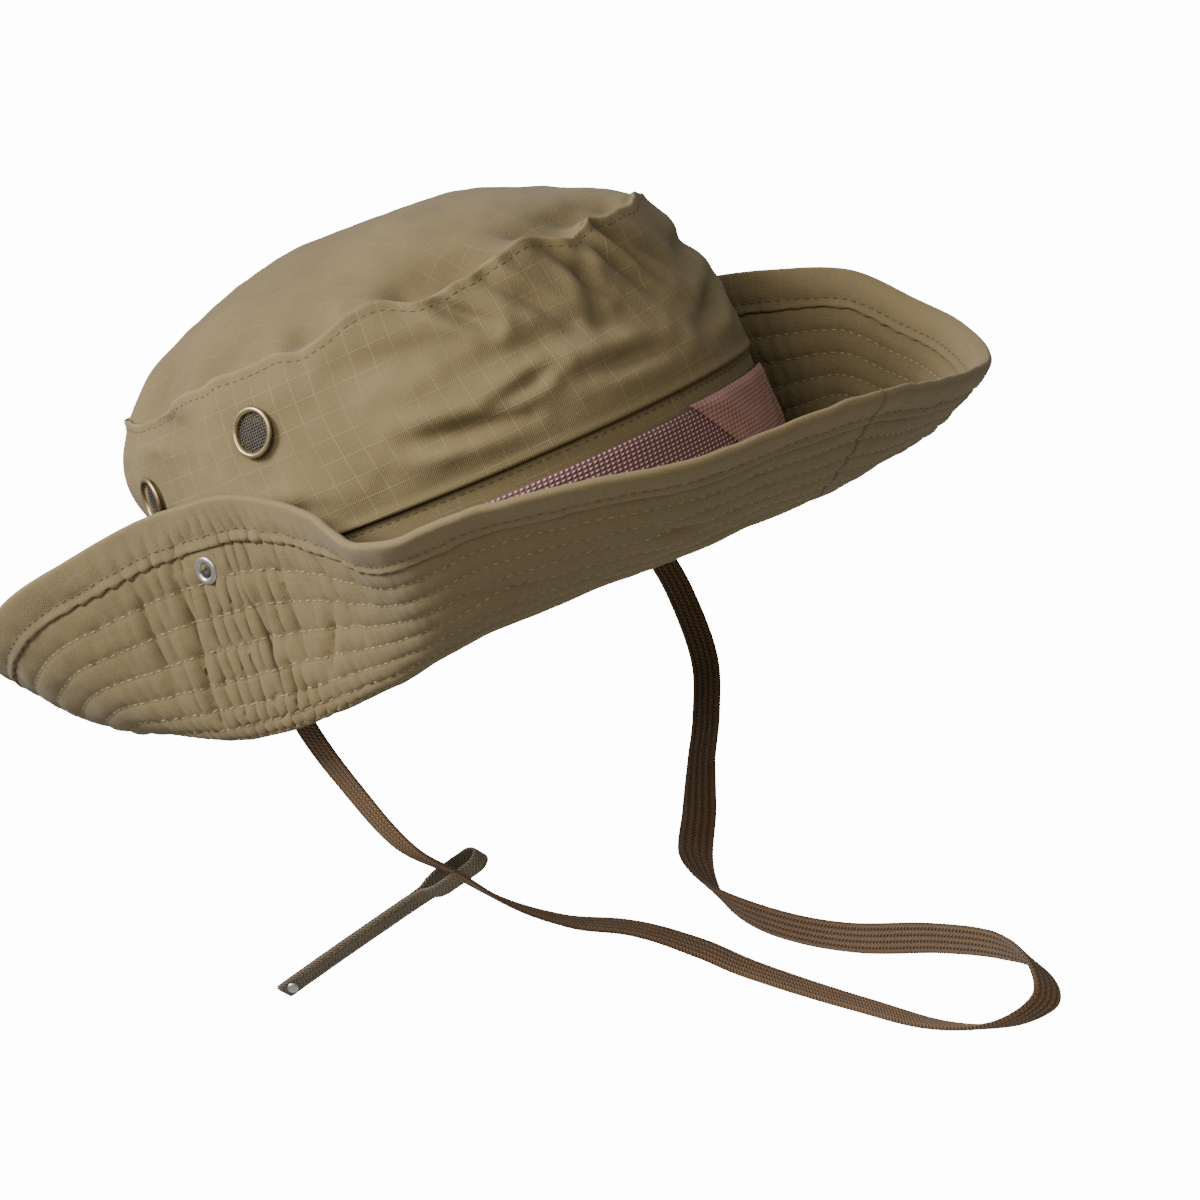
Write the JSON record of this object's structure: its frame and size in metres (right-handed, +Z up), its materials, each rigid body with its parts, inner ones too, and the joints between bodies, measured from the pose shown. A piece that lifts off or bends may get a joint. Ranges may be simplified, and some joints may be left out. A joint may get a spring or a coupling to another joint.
{
  "type": "boonie hat",
  "caption": "Soft ripstop boonie hat with a domed crown, vents, webbing band, quilted brim snapped up at both sides, and a flat chin lace with a keeper.",
  "frame": {"origin": "centre of the oval head opening, in the plane where the brim is sewn to the crown", "axes": "+Z up through the crown, -Y towards the front of the hat, +X towards the wearer's left"},
  "size_m": [0.2389, 0.3571, 0.2871],
  "materials": {
    "ripstop": "matt olive-khaki cotton ripstop, washed and creased",
    "lining": "matt plain cotton",
    "binding": "matt folded ripstop tape, slightly lighter on its fold",
    "webbing": "dull maroon-brown woven nylon",
    "brass": "satin, cream-coloured lacquer on brass",
    "mesh": "dark fine wire mesh",
    "steel": "bright nickel plate",
    "lace": "matt ribbed flat braid",
    "strap": "dull dark narrow tape"
  },
  "bodies": {
    "hat": {"brim_front_upper_cloth": "ripstop", "brim_front_interlining": "lining", "brim_front_lower_cloth": "ripstop", "brim_front_binding": "binding", "brim_back_upper_cloth": "ripstop", "brim_back_interlining": "lining", "brim_back_lower_cloth": "ripstop", "brim_back_binding": "binding", "crown_top": "ripstop", "crown_wall": "ripstop", "crown_base_band": "ripstop", "sweatband": "lining", "webbing_band": "webbing", "vent_right_front_rim": "brass", "vent_right_front_mesh": "mesh", "vent_right_front_washer": "brass", "vent_right_rear_rim": "brass", "vent_right_rear_mesh": "mesh", "vent_right_rear_washer": "brass", "snap_right_stud": "brass", "snap_right_backing": "brass", "lace_anchor_right": "lining", "vent_left_front_rim": "brass", "vent_left_front_mesh": "mesh", "vent_left_front_washer": "brass", "vent_left_rear_rim": "brass", "vent_left_rear_mesh": "mesh", "vent_left_rear_washer": "brass", "snap_left_stud": "brass", "snap_left_backing": "brass", "lace_anchor_left": "lining", "chin_lace": "lace"},
    "flap_right": {"flap_right_upper_cloth": "ripstop", "flap_right_interlining": "lining", "flap_right_lower_cloth": "ripstop", "flap_right_binding": "binding", "snap_right_socket": "brass", "snap_right_ring": "steel"},
    "flap_left": {"flap_left_upper_cloth": "ripstop", "flap_left_interlining": "lining", "flap_left_lower_cloth": "ripstop", "flap_left_binding": "binding", "snap_left_socket": "brass", "snap_left_ring": "steel"},
    "keeper": {"lace_keeper": "strap", "keeper_rivet": "steel"}
  },
  "joints": [
    {"name": "flap_right_fold", "type": "hinge", "parent": "hat", "child": "flap_right", "pos_m": [-0.093, 0, -0.003], "axis": [0, -1, 0], "range_deg": [0, 70]},
    {"name": "flap_left_fold", "type": "hinge", "parent": "hat", "child": "flap_left", "pos_m": [0.093, 0, -0.003], "axis": [0, 1, 0], "range_deg": [0, 70]},
    {"name": "keeper_slide", "type": "slide", "parent": "hat", "child": "keeper", "axis": [0.6038, -0.1289, -0.7867], "range_m": [-0.004, 0.01]}
  ]
}
